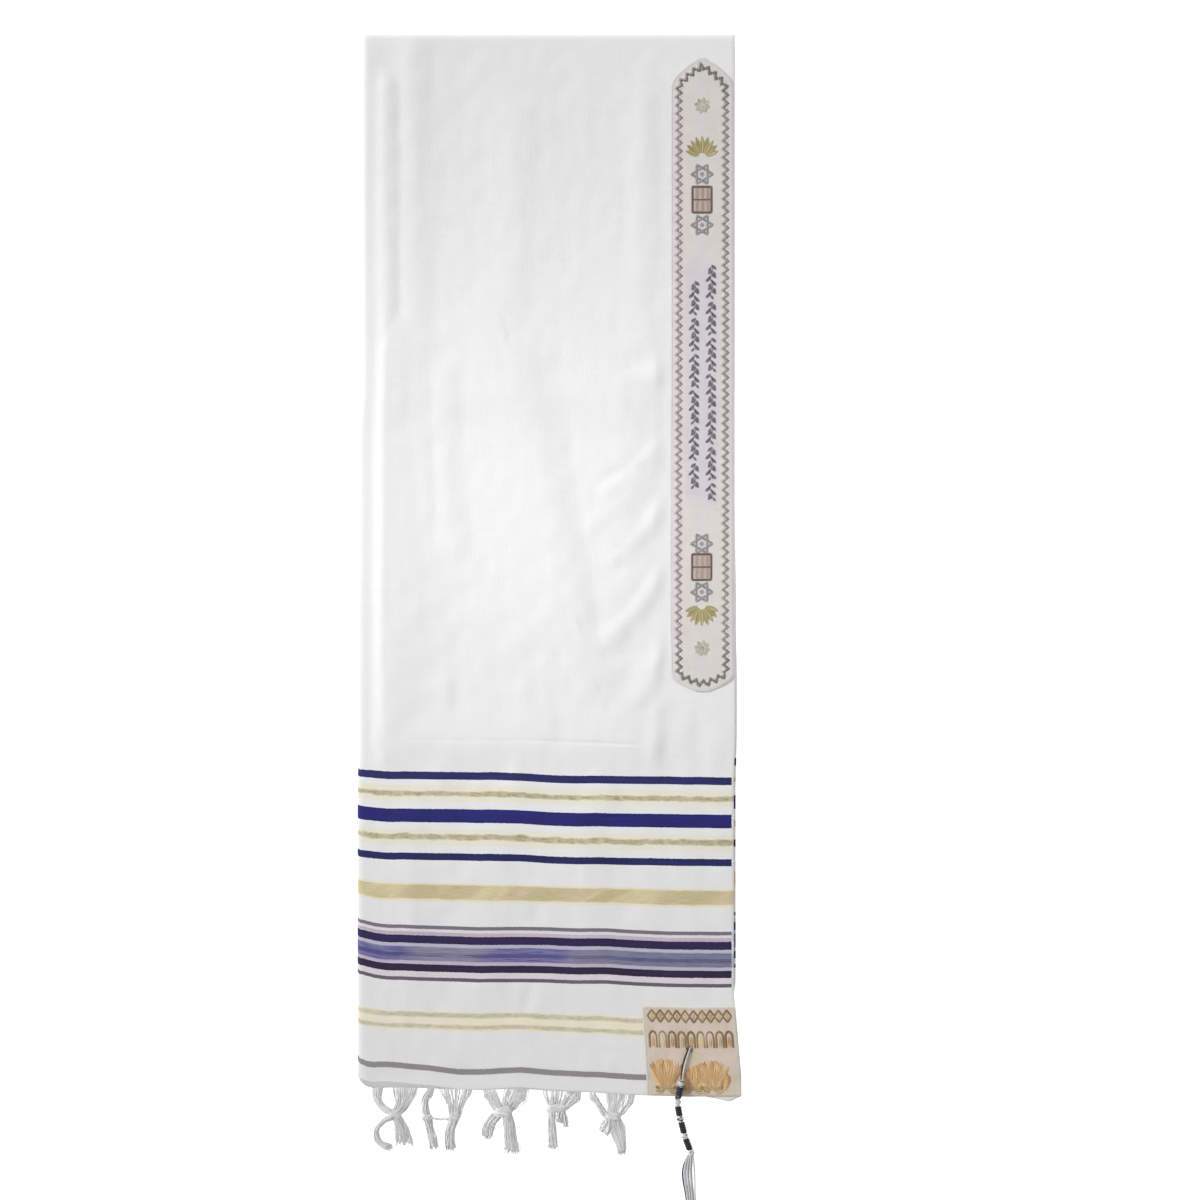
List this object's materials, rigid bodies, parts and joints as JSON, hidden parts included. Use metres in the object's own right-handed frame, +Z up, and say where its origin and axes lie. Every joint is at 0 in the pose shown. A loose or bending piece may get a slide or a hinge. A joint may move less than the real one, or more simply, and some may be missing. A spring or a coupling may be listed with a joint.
{
  "type": "folded tallit prayer shawl",
  "caption": "White striped prayer shawl folded in half and laid flat, with neckband, corner patch, knotted fringe and wound corner strings.",
  "frame": {"origin": "centre of the footprint on the surface that the folded shawl lies on", "axes": "+Z up off the surface, +Y along the shawl towards its straight top fold, +X across towards the neckband and the selvedges"},
  "size_m": [0.48, 1.5378, 0.0118],
  "materials": {
    "woven_cloth": "fine woven wool blend, matt, with satin and metallic stripes",
    "neckband_cloth": "satin ribbon cloth with stitched ornament",
    "patch_cloth": "satin cloth with gold stitched ornament",
    "fringe_yarn": "loose twisted yarn",
    "string_yarn": "tight twisted string, white and dark blue"
  },
  "bodies": {
    "root": {"shawl_front": "woven_cloth", "shawl_under_layers": "woven_cloth", "neckband": "neckband_cloth", "corner_patch": "patch_cloth", "fringe_tassel_1": "fringe_yarn", "fringe_tassel_2": "fringe_yarn", "fringe_tassel_3": "fringe_yarn", "fringe_tassel_4": "fringe_yarn", "fringe_tassel_5": "fringe_yarn", "tzitzit": "string_yarn"}
  },
  "joints": []
}
